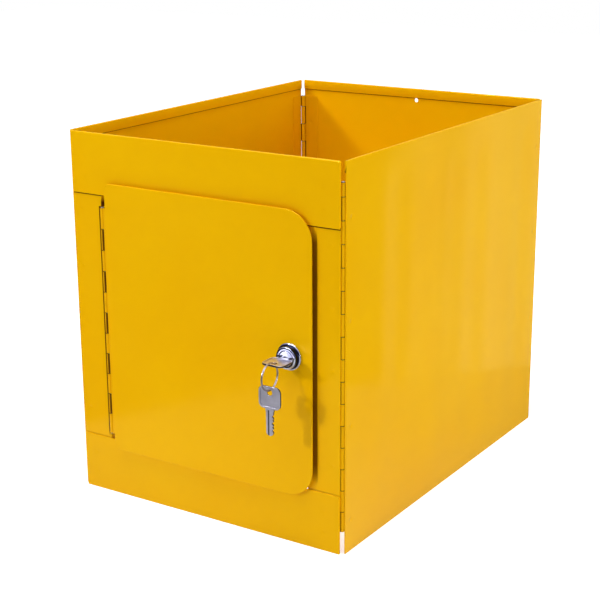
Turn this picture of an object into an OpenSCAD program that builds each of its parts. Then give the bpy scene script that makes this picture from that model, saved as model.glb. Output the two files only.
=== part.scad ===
// Folding lockable box of enamelled sheet steel: four panels joined by corner hinges, a framed front,
// a door on its own hinge, and a cam lock with two keys on a ring.
//
// Every piece is drawn in the corner frame: X runs right along the front, Y runs into the box, Z is up,
// and the origin is the outer front left corner at the floor. place() then puts the origin of the whole
// object at the middle of its base.

/* [Box] */
// Outside width, across the front
box_w = 296; // [280:1:340]
// Outside depth, front to back
box_d = 398; // [300:1:460]
// Height of the four panels
box_h = 350; // [346:1:400]
// Thickness of the sheet steel
sheet_t = 1; // [0.8:0.1:1]
// Height of the flattened hem along the top edges
hem_h = 10; // [6:1:12]
// Open strip left at each corner for the hinge barrel
corner_gap = 4; // [3.8:0.1:4.4]

/* [Front frame] */
// Height of the top rail
top_rail_h = 57; // [50:1:60]
// Height of the bottom rail
bottom_rail_h = 55; // [50:1:58]
// Distance from the left outside face to the door side of the left stile
left_stile_x = 37; // [34:1:38]
// Width of the right stile
right_stile_w = 33; // [30:1:34]
// How far the return flanges of the stiles run into the box
flange_d = 14; // [12:0.5:14]

/* [Hinges] */
// Radius of a hinge barrel
barrel_r = 2.2; // [2:0.1:2.2]
// Radius of a hinge pin
pin_r = 1.2; // [1:0.1:1.2]
// Thickness of a hinge leaf
leaf_t = 0.9; // [0.6:0.1:0.9]
// Length of one knuckle
knuckle_pitch = 20; // [16:1:20]
// Width of a corner hinge leaf, from the pin
corner_leaf_w = 18; // [14:1:20]
// Height of the lower end of the corner hinges
corner_hinge_low = 21; // [18:1:24]
// Length of the short knuckle at the top of the corner hinges
top_knuckle = 12; // [10:1:14]
// Length of the knuckle at the bottom of the corner hinges
low_knuckle = 19; // [10:1:20]
// Height of the lower end of the door hinge
door_hinge_low = 62; // [60:1:66]
// Width of the door leaf of the door hinge, from the pin
door_leaf_w = 18; // [12:1:20]

/* [Door] */
// Height of the lower edge of the door
door_low = 47.5; // [46:0.5:50]
// Height of the door
door_h = 258; // [254:1:262]
// Width of the door
door_w = 223; // [220:0.5:226]
// Thickness of the door plate
door_t = 1.2; // [1:0.1:1.5]
// Gap between the rails and the back of the door
door_gap = 3.2; // [3.2:0.1:3.6]
// Radius of the corners on the lock side
door_corner_r = 27; // [10:1:40]
// Radius of the corners on the hinge side
hinge_corner_r = 8; // [2:1:12]

/* [Lock] */
// Distance from the free edge of the door to the lock
lock_inset = 22.5; // [20:0.5:26]
// Length of the lock body behind the door's face
lock_body_l = 20; // [19.6:0.1:20]
// How far the lock's head stands out of the door
lock_head_h = 7; // [5:0.5:8]
// Radius of the lock's rim
lock_rim_r = 12.25; // [11.5:0.25:13]
// Distance from the lock's axis to the end of the cam
cam_reach = 25; // [22:1:26]

/* [Keys] */
// Width of a key's bow
bow_w = 22; // [20:1:24]
// Length of a key's bow
bow_l = 20; // [18:1:22]
// Length of a key's blade
blade_l = 24.4; // [22:0.2:25]
// Thickness of a key
key_t = 1.8; // [1.6:0.1:1.8]
// Radius of the hole in the bow
eye_r = 2.75; // [2.75:0.05:3]

/* [Hidden] */
$fn = 48;

// a hair of overlap that makes a cut pass clean through
cut = 1;

// hinge fits
running_fit = 0.05;
bore_r = pin_r + running_fit;
knuckle_gap = 0.3;
leaf_clear = 0.3;
strap_start = 0.6;
pin_head_r = 1.6;
pin_head_h = 0.6;

// corner hinges: the barrels stand just inside the sheet, so the leaves lie flat on its inner face
leaf_face = barrel_r + leaf_clear;
hinge_side_inset = sheet_t + leaf_face;
hinge_front_y = 2 * sheet_t + leaf_face;
hinge_back_y = box_d - hinge_side_inset;
corner_knuckles = 16;
corner_hinge_top = corner_hinge_low + low_knuckle + (corner_knuckles - 2) * knuckle_pitch + top_knuckle;
corner_cuts = [
    corner_hinge_top,
    for (i = [0 : corner_knuckles - 2]) corner_hinge_top - top_knuckle - i * knuckle_pitch,
    corner_hinge_low
];

// door and its hinge
door_knuckles = 11;
door_cuts = [for (i = [0 : door_knuckles]) door_hinge_low + (door_knuckles - i) * knuckle_pitch];
door_hinge_x = left_stile_x + barrel_r;
door_hinge_y = barrel_r - door_gap;
door_barrel_clear = 3.1;
door_x = door_hinge_x + barrel_r + door_barrel_clear;
door_back_y = -door_gap;
door_front_y = -door_gap - door_t;
frame_leaf_w = 13;

// front frame
rail_l = box_w - 2 * corner_gap;
top_rail_z = box_h - top_rail_h;
hem_clear = 0.2;
stile_h = box_h - hem_h - hem_clear;
right_stile_x = box_w - corner_gap - right_stile_w;

// lock, all on one axis that runs along Y
lock_x = door_x + door_w - lock_inset;
lock_z = door_low + door_h / 2;
lock_thread_r = 9.5;
lock_flats = 16.4;
lock_hole_clear = 0.1;
lock_face_r = 10.2;
rim_h = 1.4;
edge_h = 0.8;
nut_flats = 22;
nut_h = 4;
plug_r = 7;
plug_sink = 0.4;
plug_shoulder = 0.1;
tail_w = 8;
tail_l = 1.8;
keyway_rear_wall = 4.4;
cam_t = 2;
cam_w = 16;
cam_corner_r = 2;
cam_fit = 0.1;
washer_r = 6.5;
washer_t = 1;
washer_clear = 0.2;
screw_r = 2;
screw_l = 6;
screw_hole_l = 5.4;
screw_head_r = 4.4;
screw_head_h = 2.4;
recess_w = 1.6;
recess_h = 1.2;

// keys: the blade slides in the keyway of the plug and through the windows of the wafers
key_standoff = 2.3;
eye_inset = 5.35;
blade_w = 7.4;
shoulder_w = 8.6;
shoulder_l = 2;
tip_l = blade_w / 4;
first_notch = 6.5;
key_fit = 0.1;
keyway_w = blade_w + 2 * key_fit + 0.1;
keyway_h = key_t + 2 * key_fit;
ward_w = 4.4;
ward_h = 1.3;
wafer_count = 5;
wafer_pitch = 3.2;
wafer_t = 1;
wafer_w = 12;
wafer_h = 5.6;
wafer_slot_fit = 0.15;
notch_depths = [1.2, 0.7, 1.6, 0.9, 1.3];
bow_corner_r = 5;
border_w = 1.4;
border_h = 0.25;
key_eye_y = door_front_y - lock_head_h - key_standoff - (bow_l - eye_inset);

// the ring hangs from the eye of the key in the lock, and the spare key hangs from the ring
ring_r = 12;
wire_r = 0.8;
ring_out = 7.15;
ring_drop = 9.3;
spare_drop = eye_r - wire_r - running_fit;
ring_y = key_eye_y - ring_out;
ring_z = lock_z - ring_drop;
spare_eye_z = ring_z - ring_r - spare_drop;

// hole for a screw or a hook, just under the hem of the back panel
hang_hole_r = 2.25;
hang_hole_drop = 2.6;
hang_hole_z = box_h - hem_h - hang_hole_drop;

front_reach = ring_r + wire_r - ring_y;

// Moves the corner frame so that the origin is the middle of the base of the whole object.
module place() translate([-box_w / 2, -(box_d - front_reach) / 2, 0]) children();

// A sheet of a given length along X, its outer face at y = 0, with its top edge folded in and flattened.
module hemmed_sheet(length, height) {
    cube([length, sheet_t, height]);
    translate([0, 0, height - hem_h]) cube([length, 2 * sheet_t, hem_h]);
}

// One leaf of a hinge with its pin on the Z axis: the plate runs along +X with its outer face at y = -face,
// and the knuckles are those numbered first, first + 2 and so on, from the top.
module hinge_leaf(cuts, first, width, face) {
    top = cuts[0];
    low = cuts[len(cuts) - 1];
    plate_x = barrel_r + leaf_clear;
    difference() {
        union() {
            translate([plate_x, -face, low]) cube([width - plate_x, leaf_t, top - low]);
            for (i = [first : 2 : len(cuts) - 2]) {
                knuckle_h = cuts[i] - cuts[i + 1] - knuckle_gap;
                translate([0, 0, cuts[i + 1] + knuckle_gap / 2]) {
                    cylinder(r = barrel_r, h = knuckle_h);
                    translate([strap_start, -face, 0]) cube([plate_x, leaf_t, knuckle_h]);
                }
            }
        }
        translate([0, 0, low - cut]) cylinder(r = bore_r, h = top - low + 2 * cut);
    }
}

// The pin of a hinge, peened over at both ends.
module hinge_pin(cuts) {
    top = cuts[0];
    low = cuts[len(cuts) - 1];
    translate([0, 0, low]) cylinder(r = pin_r, h = top - low);
    translate([0, 0, low - pin_head_h]) cylinder(r = pin_head_r, h = pin_head_h);
    translate([0, 0, top]) cylinder(r = pin_head_r, h = pin_head_h);
}

// Puts a hinge at one corner. A turn of 0 lays the plate along +X with its outer face towards -Y.
module corner(x, y, turn, flip = 0) translate([x, y, 0]) rotate([0, 0, turn]) mirror([0, flip, 0]) children();

module at_front_right(turn, flip = 0) corner(box_w - hinge_side_inset, hinge_front_y, turn, flip) children();
module at_front_left(turn, flip = 0) corner(hinge_side_inset, hinge_front_y, turn, flip) children();
module at_back_right(turn, flip = 0) corner(box_w - hinge_side_inset, hinge_back_y, turn, flip) children();
module at_back_left(turn, flip = 0) corner(hinge_side_inset, hinge_back_y, turn, flip) children();

// Puts a shape on the lock's axis: local +Z points out of the door, measured from the door's front face.
module on_lock() translate([lock_x, door_front_y, lock_z]) rotate([90, 0, 0]) children();

// The outline of a key in its own plane, the eye at the origin and the blade running along +Y.
module key_outline() {
    bow_low = -eye_inset;
    difference() {
        union() {
            rounded_rect(-bow_w / 2, bow_low, bow_w, bow_l, bow_corner_r);
            translate([-shoulder_w / 2, bow_low + bow_l - cut]) square([shoulder_w, shoulder_l + cut]);
            translate([-blade_w / 2, bow_low + bow_l - cut]) square([blade_w, blade_l + cut - tip_l]);
            translate([0, bow_low + bow_l + blade_l - blade_w / 2]) intersection() {
                circle(r = blade_w / 2);
                translate([-blade_w / 2, 0]) square(blade_w);
            }
        }
        circle(r = eye_r);
        for (i = [0 : len(notch_depths) - 1]) {
            translate([blade_w / 2, bow_low + bow_l + first_notch + i * wafer_pitch]) rotate(45)
                square(notch_depths[i] * sqrt(2), center = true);
        }
    }
}

module rounded_rect(x, y, w, h, r) {
    translate([x + r, y]) square([w - 2 * r, h]);
    translate([x, y + r]) square([w, h - 2 * r]);
    for (cx = [x + r, x + w - r], cy = [y + r, y + h - r]) translate([cx, cy]) circle(r = r);
}

// A whole key: a flat stamping with a raised border round the bow, centred on z = 0.
module key_blank() {
    bow_low = -eye_inset;
    translate([0, 0, -key_t / 2 + border_h]) linear_extrude(key_t - 2 * border_h) key_outline();
    translate([0, 0, -key_t / 2]) linear_extrude(key_t) difference() {
        rounded_rect(-bow_w / 2, bow_low, bow_w, bow_l, bow_corner_r);
        rounded_rect(-bow_w / 2 + border_w, bow_low + border_w, bow_w - 2 * border_w, bow_l - 2 * border_w,
            bow_corner_r - border_w);
    }
}

module back_panel() {
    color("goldenrod") place() difference() {
        translate([corner_gap, box_d, 0]) mirror([0, 1, 0]) hemmed_sheet(rail_l, box_h);
        translate([box_w / 2, box_d + cut, hang_hole_z]) rotate([90, 0, 0])
            cylinder(r = hang_hole_r, h = 3 * sheet_t + 2 * cut);
    }
}

module right_panel() {
    color("gold") place() translate([box_w, corner_gap, 0]) rotate([0, 0, 90])
        hemmed_sheet(box_d - 2 * corner_gap, box_h);
}

module left_panel() {
    color("orange") place() translate([0, corner_gap, 0]) mirror([1, 0, 0]) rotate([0, 0, 90])
        hemmed_sheet(box_d - 2 * corner_gap, box_h);
}

module front_top_rail() {
    color("gold") place() translate([corner_gap, 0, top_rail_z]) hemmed_sheet(rail_l, top_rail_h);
}

module front_bottom_rail() {
    color("gold") place() translate([corner_gap, 0, 0]) cube([rail_l, sheet_t, bottom_rail_h]);
}

module front_left_stile() {
    color("khaki") place() {
        translate([corner_gap, sheet_t, 0]) cube([left_stile_x - corner_gap, sheet_t, stile_h]);
        translate([left_stile_x - sheet_t, sheet_t, 0]) cube([sheet_t, flange_d, stile_h]);
    }
}

module front_right_stile() {
    color("khaki") place() {
        translate([right_stile_x, sheet_t, 0]) cube([right_stile_w, sheet_t, stile_h]);
        translate([right_stile_x, sheet_t, 0]) cube([sheet_t, flange_d, stile_h]);
    }
}

module front_right_hinge_side_leaf() {
    color("darkkhaki") place() at_front_right(90) hinge_leaf(corner_cuts, 0, corner_leaf_w, leaf_face);
}

module front_right_hinge_front_leaf() {
    color("tan") place() at_front_right(180, 1) hinge_leaf(corner_cuts, 1, corner_leaf_w, leaf_face);
}

module front_right_hinge_pin() {
    color("silver") place() at_front_right(0) hinge_pin(corner_cuts);
}

module front_left_hinge_side_leaf() {
    color("darkkhaki") place() at_front_left(90, 1) hinge_leaf(corner_cuts, 0, corner_leaf_w, leaf_face);
}

module front_left_hinge_front_leaf() {
    color("tan") place() at_front_left(0) hinge_leaf(corner_cuts, 1, corner_leaf_w, leaf_face);
}

module front_left_hinge_pin() {
    color("silver") place() at_front_left(0) hinge_pin(corner_cuts);
}

module back_right_hinge_side_leaf() {
    color("darkkhaki") place() at_back_right(-90, 1) hinge_leaf(corner_cuts, 0, corner_leaf_w, leaf_face);
}

module back_right_hinge_back_leaf() {
    color("tan") place() at_back_right(180) hinge_leaf(corner_cuts, 1, corner_leaf_w, leaf_face);
}

module back_right_hinge_pin() {
    color("silver") place() at_back_right(0) hinge_pin(corner_cuts);
}

module back_left_hinge_side_leaf() {
    color("darkkhaki") place() at_back_left(-90) hinge_leaf(corner_cuts, 0, corner_leaf_w, leaf_face);
}

module back_left_hinge_back_leaf() {
    color("tan") place() at_back_left(0, 1) hinge_leaf(corner_cuts, 1, corner_leaf_w, leaf_face);
}

module back_left_hinge_pin() {
    color("silver") place() at_back_left(0) hinge_pin(corner_cuts);
}

// A flat plate with larger corners on the lock side, and a hole with two flats for the lock.
module door_plate() {
    color("gold") place() difference() {
        translate([door_x, door_back_y, door_low]) rotate([90, 0, 0]) linear_extrude(door_t) {
            translate([hinge_corner_r, 0]) square([door_w - hinge_corner_r - door_corner_r, door_h]);
            translate([0, hinge_corner_r]) square([hinge_corner_r + cut, door_h - 2 * hinge_corner_r]);
            for (z = [hinge_corner_r, door_h - hinge_corner_r])
                translate([hinge_corner_r, z]) circle(r = hinge_corner_r);
            translate([door_w - door_corner_r - cut, door_corner_r])
                square([door_corner_r + cut, door_h - 2 * door_corner_r]);
            for (z = [door_corner_r, door_h - door_corner_r])
                translate([door_w - door_corner_r, z]) circle(r = door_corner_r, $fn = 96);
        }
        on_lock() translate([0, 0, -door_t - cut]) linear_extrude(door_t + 2 * cut)
            flatted_circle(lock_thread_r + lock_hole_clear, lock_flats + 2 * lock_hole_clear);
    }
}

module flatted_circle(r, flats) intersection() {
    circle(r = r);
    square([2 * r + cut, flats], center = true);
}

module door_hinge_door_leaf() {
    color("tan") place() corner(door_hinge_x, door_hinge_y, 0)
        hinge_leaf(door_cuts, 1, door_leaf_w, barrel_r);
}

module door_hinge_frame_leaf() {
    color("darkkhaki") place() corner(door_hinge_x, door_hinge_y, 90, 1)
        hinge_leaf(door_cuts, 0, frame_leaf_w, barrel_r);
}

module door_hinge_pin() {
    color("silver") place() corner(door_hinge_x, door_hinge_y, 0) hinge_pin(door_cuts);
}

// The cast body: a round head outside, a flatted and threaded barrel inside, bored for the plug.
module lock_housing() {
    color("silver") place() on_lock() difference() {
        union() {
            cylinder(r = lock_rim_r, h = rim_h);
            translate([0, 0, rim_h]) cylinder(r1 = lock_rim_r, r2 = lock_rim_r - edge_h, h = edge_h);
            cylinder(r = lock_face_r, h = lock_head_h - edge_h);
            translate([0, 0, lock_head_h - edge_h])
                cylinder(r1 = lock_face_r, r2 = lock_face_r - edge_h, h = edge_h);
            translate([0, 0, -lock_body_l]) linear_extrude(lock_body_l)
                flatted_circle(lock_thread_r, lock_flats);
        }
        translate([0, 0, -lock_body_l - cut])
            cylinder(r = plug_r + running_fit, h = lock_body_l + lock_head_h + 2 * cut);
    }
}

module lock_nut() {
    color("lightgray") place() on_lock() translate([0, 0, -door_t - nut_h]) difference() {
        cylinder(r = nut_flats / sqrt(3), h = nut_h, $fn = 6);
        translate([0, 0, -cut]) cylinder(r = lock_thread_r + running_fit, h = nut_h + 2 * cut);
    }
}

// The part that the key turns, with the keyway, the slots of the wafers and the square tail for the cam.
module lock_plug() {
    rear = -lock_body_l - plug_shoulder;
    face = lock_head_h - plug_sink;
    keyway_end = keyway_rear_wall - lock_body_l;
    color("gainsboro") place() on_lock() difference() {
        union() {
            translate([0, 0, rear]) cylinder(r = plug_r, h = face - rear);
            translate([-tail_w / 2, -tail_w / 2, rear - tail_l]) cube([tail_w, tail_w, tail_l + cut]);
        }
        translate([-keyway_w / 2, -keyway_h / 2, keyway_end])
            cube([keyway_w, keyway_h, face - keyway_end + cut]);
        translate([-ward_w / 2, keyway_h / 2 - cut / 2, keyway_end])
            cube([ward_w, ward_h + cut / 2, face - keyway_end + cut]);
        for (i = [0 : wafer_count - 1])
            translate([0, 0, wafer_z(i)]) cube(
                [wafer_w + 2 * wafer_slot_fit, wafer_h + 2 * wafer_slot_fit, wafer_t + 2 * wafer_slot_fit],
                center = true);
        translate([0, 0, rear - tail_l - cut]) cylinder(r = screw_r + running_fit, h = screw_hole_l + cut);
    }
}

// Depth of each wafer along the lock's axis, level with one notch of the key.
function wafer_z(i) = lock_head_h + key_standoff - first_notch - i * wafer_pitch;

// Thin plates that the key lines up, each with a window for the blade.
module lock_wafers() {
    color("goldenrod") place() on_lock() for (i = [0 : wafer_count - 1])
        translate([0, 0, wafer_z(i) - wafer_t / 2]) linear_extrude(wafer_t) difference() {
            square([wafer_w, wafer_h], center = true);
            square([keyway_w + 2 * key_fit, keyway_h + 2 * key_fit], center = true);
        }
}

// At rest the cam points up, clear of the stile; a quarter turn puts it behind the flange of the stile.
module lock_cam() {
    color("silver") place() on_lock() translate([0, 0, -lock_body_l - plug_shoulder - cam_t])
        linear_extrude(cam_t) difference() {
            union() {
                circle(r = cam_w / 2);
                translate([-cam_w / 2, 0]) square([cam_w, cam_reach - cam_corner_r]);
                translate([cam_corner_r - cam_w / 2, 0]) square([cam_w - 2 * cam_corner_r, cam_reach]);
                for (side = [-1, 1])
                    translate([side * (cam_w / 2 - cam_corner_r), cam_reach - cam_corner_r])
                        circle(r = cam_corner_r);
            }
            square(tail_w + cam_fit, center = true);
        }
}

module cam_washer() {
    color("lightgray") place() on_lock()
        translate([0, 0, -lock_body_l - plug_shoulder - cam_t - washer_t]) difference() {
            cylinder(r = washer_r, h = washer_t);
            translate([0, 0, -cut]) cylinder(r = screw_r + washer_clear, h = washer_t + 2 * cut);
        }
}

module cam_screw() {
    head_face = -lock_body_l - plug_shoulder - cam_t - washer_t;
    color("lightgray") place() on_lock() difference() {
        union() {
            translate([0, 0, head_face]) cylinder(r = screw_r, h = screw_l);
            translate([0, 0, head_face - screw_head_h]) cylinder(r = screw_head_r, h = screw_head_h);
        }
        for (turn = [0, 90]) rotate([0, 0, turn])
            translate([-screw_head_r * 0.6, -recess_w / 2, head_face - screw_head_h - cut])
                cube([screw_head_r * 1.2, recess_w, recess_h + cut]);
    }
}

module key() {
    color("lavender") place() translate([lock_x, key_eye_y, lock_z]) key_blank();
}

module key_ring() {
    color("silver") place() translate([lock_x, ring_y, ring_z]) rotate([0, 90, 0])
        rotate_extrude() translate([ring_r, 0]) circle(r = wire_r, $fn = 24);
}

module spare_key() {
    color("lavender") place() translate([lock_x, ring_y, spare_eye_z]) rotate([-90, 0, 0]) key_blank();
}

back_panel();
right_panel();
left_panel();
front_top_rail();
front_bottom_rail();
front_left_stile();
front_right_stile();
front_right_hinge_side_leaf();
front_right_hinge_front_leaf();
front_right_hinge_pin();
front_left_hinge_side_leaf();
front_left_hinge_front_leaf();
front_left_hinge_pin();
back_right_hinge_side_leaf();
back_right_hinge_back_leaf();
back_right_hinge_pin();
back_left_hinge_side_leaf();
back_left_hinge_back_leaf();
back_left_hinge_pin();
door_plate();
door_hinge_door_leaf();
door_hinge_frame_leaf();
door_hinge_pin();
lock_housing();
lock_nut();
lock_plug();
lock_wafers();
lock_cam();
cam_washer();
cam_screw();
key();
key_ring();
spare_key();
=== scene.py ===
import math

import bmesh
import bpy
from mathutils import Matrix, Vector


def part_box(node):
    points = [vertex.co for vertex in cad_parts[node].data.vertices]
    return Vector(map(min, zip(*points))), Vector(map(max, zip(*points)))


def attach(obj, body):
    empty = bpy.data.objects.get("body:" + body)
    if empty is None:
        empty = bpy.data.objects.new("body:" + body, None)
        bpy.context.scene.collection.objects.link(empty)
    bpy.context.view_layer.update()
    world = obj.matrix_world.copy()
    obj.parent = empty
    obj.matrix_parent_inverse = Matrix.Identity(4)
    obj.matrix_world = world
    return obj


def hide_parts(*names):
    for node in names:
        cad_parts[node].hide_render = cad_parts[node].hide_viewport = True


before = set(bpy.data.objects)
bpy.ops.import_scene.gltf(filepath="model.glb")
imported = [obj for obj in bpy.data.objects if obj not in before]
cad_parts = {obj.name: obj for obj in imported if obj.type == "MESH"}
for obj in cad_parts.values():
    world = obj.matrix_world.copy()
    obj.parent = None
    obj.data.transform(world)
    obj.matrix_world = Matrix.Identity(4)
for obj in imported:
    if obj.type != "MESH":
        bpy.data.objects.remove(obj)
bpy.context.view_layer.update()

MM = 0.001

# ---- The studio: a white table that runs into a white backdrop, and four soft boxes: a small one low ----
# at the left, which draws the shadows, a weaker one above it, a large one overhead and one at the right.
scene = bpy.context.scene
scene.view_settings.view_transform = "Standard"


def put_in(kit, kind, inputs=None, **settings):
    """Adds a node to a tree. Each input is a number, a colour or the output socket that feeds it."""
    made = kit.nodes.new(kind)
    for label, value in settings.items():
        setattr(made, label, value)
    for label, value in (inputs or {}).items():
        if isinstance(value, bpy.types.NodeSocket):
            kit.links.new(value, made.inputs[label])
        else:
            made.inputs[label].default_value = value
    return made


def ranged(kit, value, low, high, first=0.0, last=1.0):
    """Carries a number from one range to another and holds it at both ends."""
    return put_in(kit, "ShaderNodeMapRange", {"Value": value, "From Min": low, "From Max": high, "To Min": first,
                                              "To Max": last}).outputs[0]


def worked(kit, operation, *values):
    """One step of arithmetic."""
    return put_in(kit, "ShaderNodeMath", dict(enumerate(values)), operation=operation).outputs[0]


def blended(kit, share, one, two):
    """A colour between two others."""
    return put_in(kit, "ShaderNodeMix", {0: share, 6: one, 7: two}, data_type="RGBA").outputs[2]


def along_way(kit, at, way):
    """How far a place lies along a direction."""
    return put_in(kit, "ShaderNodeVectorMath", {0: at, 1: way}, operation="DOT_PRODUCT").outputs["Value"]


def fresh_material(name):
    """An empty material with a Principled shader on its output."""
    material = bpy.data.materials.new(name)
    material.use_nodes = True
    kit = material.node_tree
    kit.nodes.clear()
    shader = put_in(kit, "ShaderNodeBsdfPrincipled")
    put_in(kit, "ShaderNodeOutputMaterial", {"Surface": shader.outputs[0]})
    return material, kit, shader


def studio_sheet(name, corners, material):
    """A flat sheet of the studio, no part of the object."""
    mesh = bpy.data.meshes.new(name)
    mesh.from_pydata(corners, [], [(0, 1, 2, 3)])
    mesh.materials.append(material)
    sheet = bpy.data.objects.new(name, mesh)
    scene.collection.objects.link(sheet)
    return sheet


camera_at = Vector((0.72928, -1.13940, 0.56661))
turn, tilt, roll = (math.radians(angle) for angle in (32.917, 16.469, -0.324))
camera_back = Vector((math.sin(turn) * math.cos(tilt), -math.cos(turn) * math.cos(tilt), math.sin(tilt)))
camera_right = Vector((math.cos(turn), math.sin(turn), 0))
level = Matrix((camera_right, camera_back.cross(camera_right), camera_back)).transposed()
camera = bpy.data.objects.new("camera", bpy.data.cameras.new("camera"))
camera.matrix_world = Matrix.Translation(camera_at) @ (level @ Matrix.Rotation(roll, 3, "Z")).to_4x4()
camera.data.lens = 85
camera.data.sensor_width = 36
scene.collection.objects.link(camera)
scene.camera = camera

studio = bpy.data.worlds.new("studio")
studio.use_nodes = True
scene.world = studio
sky = studio.node_tree
sky.nodes.clear()
ray = put_in(sky, "ShaderNodeLightPath").outputs
way = put_in(sky, "ShaderNodeSeparateXYZ", {0: put_in(sky, "ShaderNodeTexCoord").outputs["Generated"]})
matt_share = 0.08
gloss_share = ranged(sky, way.outputs["Z"], 0.05, 0.7, 0.02, 0.85)
unseen = put_in(sky, "ShaderNodeMix", {0: ray["Is Glossy Ray"], 2: matt_share, 3: gloss_share}).outputs[0]
strength = put_in(sky, "ShaderNodeMix", {0: ray["Is Camera Ray"], 2: unseen, 3: 1.0}).outputs[0]
backdrop = put_in(sky, "ShaderNodeBackground", {"Color": blended(sky, strength, (0.45, 0.55, 1.0, 1), (1, 1, 1, 1)),
                                                "Strength": strength})
put_in(sky, "ShaderNodeOutputWorld", {"Surface": backdrop.outputs[0]})

floor_half, floor_z = 4.0, -0.2 * MM
white_table, kit, shader = fresh_material("white_table")
shader.inputs["Base Color"].default_value = (0.93, 0.93, 0.93, 1)
shader.inputs["Roughness"].default_value = 0.6
shader.inputs["Specular IOR Level"].default_value = 0.2
studio_sheet("floor", [(x * floor_half, y * floor_half, floor_z) for x, y in ((-1, -1), (1, -1), (1, 1), (-1, 1))],
             white_table)

# In the gloss of the paint the table is a strip that runs towards the camera, with a dark room at its left
# and a tall streaked card close behind the object at its right.
ray = put_in(kit, "ShaderNodeLightPath").outputs
at = put_in(kit, "ShaderNodeTexCoord").outputs["Object"]
left_edge, left_out = Vector((-0.251, -0.302, 0)), Vector((-0.91, -0.41, 0))
right_edge, right_out = Vector((0.365, 0.199, 0)), Vector((0.777, 0.63, 0))


def beyond(edge, out):
    """0 on the table and 1 past one of its edges."""
    blur = 0.006
    return ranged(kit, along_way(kit, at, out), edge.dot(out) - blur, edge.dot(out) + blur)


past = worked(kit, "MAXIMUM", beyond(left_edge, left_out), beyond(right_edge, right_out))
falling = ranged(kit, along_way(kit, at, (0.6, 0.8, 0)), -0.3, 0.25, 0.75, 0.22)
glow = put_in(kit, "ShaderNodeEmission", {"Strength": ranged(kit, past, 0.0, 1.0, falling, 0.03)})
split = put_in(kit, "ShaderNodeMixShader", {0: ray["Is Glossy Ray"], 1: shader.outputs[0], 2: glow.outputs[0]})
far = put_in(kit, "ShaderNodeVectorMath", {0: at}, operation="LENGTH").outputs["Value"]
lift = worked(kit, "MULTIPLY", ray["Is Camera Ray"], ranged(kit, far, 0.35, 1.3, 0.6, 1.0))
paper = put_in(kit, "ShaderNodeEmission", {"Strength": lift})
table = put_in(kit, "ShaderNodeAddShader", {0: split.outputs[0], 1: paper.outputs[0]})
kit.links.new(table.outputs[0], kit.nodes["Material Output"].inputs["Surface"])

along = Vector((-0.63, 0.777, 0))
card_h, streaks_l = 1.1, 0.3
near_end, far_end = right_edge - along * 0.3, right_edge + along * 0.75
streaks, kit, shader = fresh_material("streaks")
card = studio_sheet("streak_card", [(end.x, end.y, z) for end, z in ((near_end, 0), (far_end, 0), (far_end, card_h),
                                                                     (near_end, card_h))], streaks)
card.visible_camera = card.visible_diffuse = card.visible_shadow = False
at = put_in(kit, "ShaderNodeTexCoord").outputs["Object"]
start_run = right_edge.dot(along)
ramp = put_in(kit, "ShaderNodeValToRGB", {0: ranged(kit, along_way(kit, at, along), start_run,
                                                    start_run + streaks_l)})
stops = ((0.0, 0.02), (0.17, 0.05), (0.27, 0.42), (0.36, 0.34), (0.43, 0.2), (0.52, 0.55), (0.62, 0.62),
         (0.68, 0.42), (0.78, 0.62), (1.0, 0.55))
band = ramp.color_ramp
for place, bright in stops[1:-1]:
    band.elements.new(place)
for element, (place, bright) in zip(band.elements, stops):
    element.position, element.color = place, (bright, bright, 0.7 * bright, 1)
glow = put_in(kit, "ShaderNodeEmission", {"Color": ramp.outputs[0], "Strength": 1.0})
kit.links.new(glow.outputs[0], kit.nodes["Material Output"].inputs["Surface"])


def soft_box(name, place, aim, width, height, power):
    """A rectangular studio light that faces a point."""
    lamp = bpy.data.lights.new(name, "AREA")
    lamp.shape = "RECTANGLE"
    lamp.size, lamp.size_y, lamp.energy = width, height, power
    light = bpy.data.objects.new(name, lamp)
    light.location = place
    light.rotation_euler = (Vector(aim) - Vector(place)).to_track_quat("-Z", "Y").to_euler()
    scene.collection.objects.link(light)


soft_box("left_box", (-0.8, -1.75, 1.0), (0, 0, 0.2), 0.16, 0.16, 12)
soft_box("high_box", (-0.85, -1.15, 2.0), (0, 0, 0.15), 0.9, 0.9, 6)
soft_box("top_box", (0.1, -0.35, 2.3), (0, 0, 0.1), 1.1, 1.1, 39)
soft_box("right_box", (1.9, 0.3, 0.55), (0, 0, 0.15), 0.8, 0.7, 16.5)


# ---- The back and the two side panels: 1 mm steel sheet, cut, the top edge folded in and pressed flat, ----
# then dipped in yellow enamel. The large flats keep a little of the curl of the coil they were cut from.


def mm(*sizes):
    """Several sizes given in millimetres."""
    return tuple(size * MM for size in sizes)


sheet_t = 1.0 * MM
hem_h = 10 * MM
hem_mouth = 0.14 * MM
grid_pitch = 9 * MM
weld_r = 2.7 * MM
weld_depth = 0.5 * MM


def steps(start, end, pitch=grid_pitch, marks=(), margin=0.9 * MM):
    """Stations from start to end, closer together round each mark and next to the two ends."""
    count = max(1, math.ceil((end - start) / pitch))
    close = [start + margin, end - margin]
    close += [mark + weld_r * share for mark in marks for share in (-1, -0.75, -0.5, -0.25, 0, 0.25, 0.5, 0.75, 1)]
    close = [value for value in close if start + 0.3 * MM < value < end - 0.3 * MM]
    even = [start + (end - start) * i / count for i in range(1, count)]
    even = [value for value in even if all(abs(value - other) > 0.4 * MM for other in close)]
    kept = [start]
    for value in sorted(close + even):
        if value - kept[-1] > 0.1 * MM:
            kept.append(value)
    return kept + [end]


def sweep(section, stations, place):
    """A closed outline carried along its stations, with both ends capped."""
    shape = bmesh.new()
    rings = [[shape.verts.new(place(station, a, b)) for a, b in section] for station in stations]
    for one, two in zip(rings, rings[1:]):
        for i in range(len(section)):
            j = (i + 1) % len(section)
            shape.faces.new((one[i], one[j], two[j], two[i]))
    shape.faces.new(rings[0][::-1])
    shape.faces.new(rings[-1])
    return shape


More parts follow.
